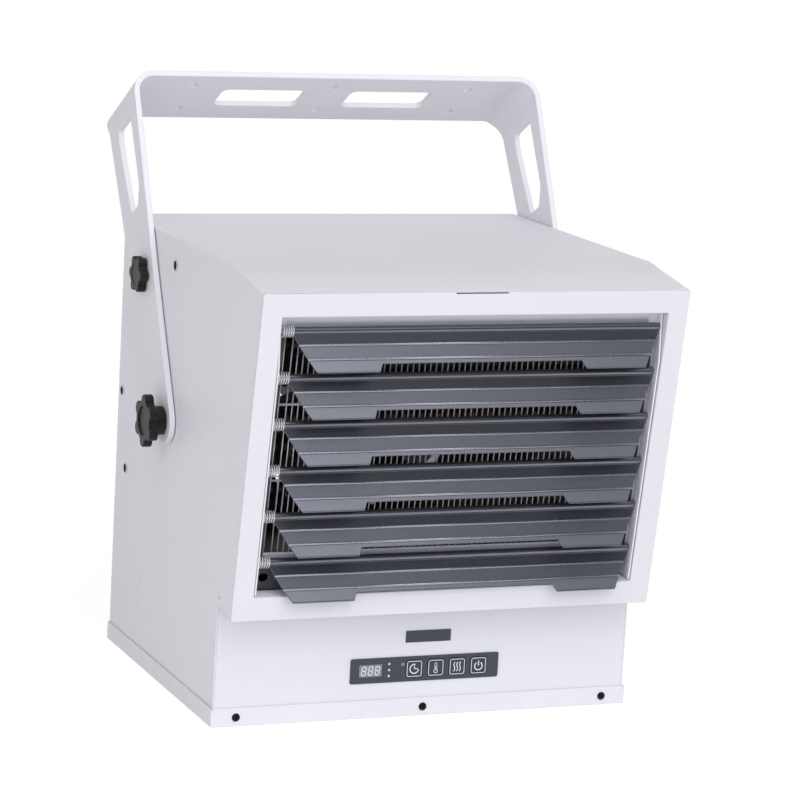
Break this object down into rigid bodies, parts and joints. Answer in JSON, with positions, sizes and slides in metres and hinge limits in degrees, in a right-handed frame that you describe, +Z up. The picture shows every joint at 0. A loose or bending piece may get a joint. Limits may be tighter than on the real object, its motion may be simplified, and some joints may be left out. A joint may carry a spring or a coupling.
{
  "type": "ceiling mounted fan heater",
  "caption": "Sheet-steel fan heater with tilted louvred outlet, keypad panel and tilting U-shaped ceiling bracket with star knobs.",
  "frame": {"origin": "centre of the base's flat underside", "axes": "+X to the right of someone facing the heater, -Y out of its front, +Z up; stored as pictured, with the hanging bracket leaning back 30 degrees"},
  "size_m": [0.4282, 0.4281, 0.5225],
  "materials": {
    "powder_coat": "satin powder coat",
    "galvanised_sheet": "zinc coated, satin",
    "zinc_wire": "bright zinc plated",
    "louver_paint": "dark grey metallic paint, satin",
    "plated_steel": "zinc plated",
    "spring_steel": "bright nickel plated",
    "knob_plastic": "fine matte grain",
    "black_nylon": "matte",
    "fan_aluminium": "rolled sheet",
    "motor_paint": "semi-gloss",
    "element_sheath": "dark, heat tinted",
    "terminal_ceramic": "glazed",
    "block_plastic": "matte",
    "relay_plastic": "satin",
    "transformer_lacquer": "lacquered",
    "board_laminate": "solder mask",
    "display_lens": "clear smoke lens",
    "led_lens": "diffused lens",
    "overlay_film": "satin film",
    "key_plastic": "satin film",
    "black_screw": "black oxide"
  },
  "bodies": {
    "cabinet": {"cabinet_wrap": "powder_coat", "front_bezel": "powder_coat", "lower_front_panel": "powder_coat", "base_pan": "powder_coat", "rear_panel": "powder_coat", "knockout_disc": "powder_coat", "rear_fan_guard": "zinc_wire", "outlet_guard": "zinc_wire", "louver_bracket_left": "galvanised_sheet", "louver_bracket_right": "galvanised_sheet", "upper_heat_shield": "galvanised_sheet", "lower_heat_shield": "galvanised_sheet", "motor_mount": "galvanised_sheet", "fan_shroud": "galvanised_sheet", "element_end_plates": "galvanised_sheet", "louver_pins": "plated_steel", "louver_springs": "spring_steel", "threaded_inserts": "plated_steel", "spacer_washers": "black_nylon", "fan_motor": "motor_paint", "heating_elements": "element_sheath", "element_terminals": "terminal_ceramic", "thermal_cutout": "black_nylon", "terminal_block": "block_plastic", "power_relays": "relay_plastic", "transformer": "transformer_lacquer", "control_board": "board_laminate", "board_spacers": "plated_steel", "key_switches": "black_nylon", "display_module": "display_lens", "indicator_leds": "led_lens", "infrared_window": "display_lens", "control_overlay": "overlay_film", "badge_plate": "overlay_film", "front_screws": "black_screw", "body_screws": "plated_steel"},
    "bracket": {"hanging_bracket": "powder_coat"},
    "pivot_knob_left": {"pivot_knob_left": "knob_plastic", "pivot_stud_left": "plated_steel"},
    "pivot_knob_right": {"pivot_knob_right": "knob_plastic", "pivot_stud_right": "plated_steel"},
    "lock_knob_left": {"lock_knob_left": "knob_plastic", "lock_stud_left": "plated_steel"},
    "lock_knob_right": {"lock_knob_right": "knob_plastic", "lock_stud_right": "plated_steel"},
    "fan": {"fan_blade": "fan_aluminium", "motor_shaft": "plated_steel"},
    "key_timer": {"key_timer": "key_plastic"},
    "key_temperature": {"key_temperature": "key_plastic"},
    "key_mode": {"key_mode": "key_plastic"},
    "key_power": {"key_power": "key_plastic"},
    "louver_1": {"louver_1": "louver_paint"},
    "louver_2": {"louver_2": "louver_paint"},
    "louver_3": {"louver_3": "louver_paint"},
    "louver_4": {"louver_4": "louver_paint"},
    "louver_5": {"louver_5": "louver_paint"},
    "louver_6": {"louver_6": "louver_paint"}
  },
  "joints": [
    {"name": "bracket_tilt", "type": "hinge", "parent": "cabinet", "child": "bracket", "pos_m": [0, 0, 0.233], "axis": [-1, 0, 0], "range_deg": [-30, 90]},
    {"name": "pivot_knob_left_turn", "type": "hinge", "parent": "cabinet", "child": "pivot_knob_left", "pos_m": [-0.205, 0, 0.233], "axis": [-1, 0, 0], "range_deg": [0, 270]},
    {"name": "lock_knob_left_turn", "type": "hinge", "parent": "bracket", "child": "lock_knob_left", "pos_m": [-0.2, 0.0675, 0.34991], "axis": [-1, 0, 0], "range_deg": [0, 270]},
    {"name": "pivot_knob_right_turn", "type": "hinge", "parent": "cabinet", "child": "pivot_knob_right", "pos_m": [0.205, 0, 0.233], "axis": [1, 0, 0], "range_deg": [0, 270]},
    {"name": "lock_knob_right_turn", "type": "hinge", "parent": "bracket", "child": "lock_knob_right", "pos_m": [0.2, 0.0675, 0.34991], "axis": [1, 0, 0], "range_deg": [0, 270]},
    {"name": "louver_1_tilt", "type": "hinge", "parent": "cabinet", "child": "louver_1", "pos_m": [0, -0.20815, 0.34753], "axis": [-1, 0, 0], "range_deg": [-30, 46]},
    {"name": "louver_2_tilt", "type": "hinge", "parent": "cabinet", "child": "louver_2", "pos_m": [0, -0.20223, 0.30787], "axis": [-1, 0, 0], "range_deg": [-30, 46]},
    {"name": "louver_3_tilt", "type": "hinge", "parent": "cabinet", "child": "louver_3", "pos_m": [0, -0.1963, 0.26821], "axis": [-1, 0, 0], "range_deg": [-30, 46]},
    {"name": "louver_4_tilt", "type": "hinge", "parent": "cabinet", "child": "louver_4", "pos_m": [0, -0.19037, 0.22856], "axis": [-1, 0, 0], "range_deg": [-30, 46]},
    {"name": "louver_5_tilt", "type": "hinge", "parent": "cabinet", "child": "louver_5", "pos_m": [0, -0.18444, 0.1889], "axis": [-1, 0, 0], "range_deg": [-30, 46]},
    {"name": "louver_6_tilt", "type": "hinge", "parent": "cabinet", "child": "louver_6", "pos_m": [0, -0.17852, 0.14924], "axis": [-1, 0, 0], "range_deg": [-10, 46]},
    {"name": "fan_spin", "type": "hinge", "parent": "cabinet", "child": "fan", "pos_m": [0, 0.0713, 0.248], "axis": [0, 1, 0], "continuous": true},
    {"name": "key_timer_press", "type": "slide", "parent": "cabinet", "child": "key_timer", "axis": [0, 1, 0], "range_m": [0, 0.00025], "stiffness_N_per_m": 2000},
    {"name": "key_temperature_press", "type": "slide", "parent": "cabinet", "child": "key_temperature", "axis": [0, 1, 0], "range_m": [0, 0.00025], "stiffness_N_per_m": 2000},
    {"name": "key_mode_press", "type": "slide", "parent": "cabinet", "child": "key_mode", "axis": [0, 1, 0], "range_m": [0, 0.00025], "stiffness_N_per_m": 2000},
    {"name": "key_power_press", "type": "slide", "parent": "cabinet", "child": "key_power", "axis": [0, 1, 0], "range_m": [0, 0.00025], "stiffness_N_per_m": 2000}
  ]
}
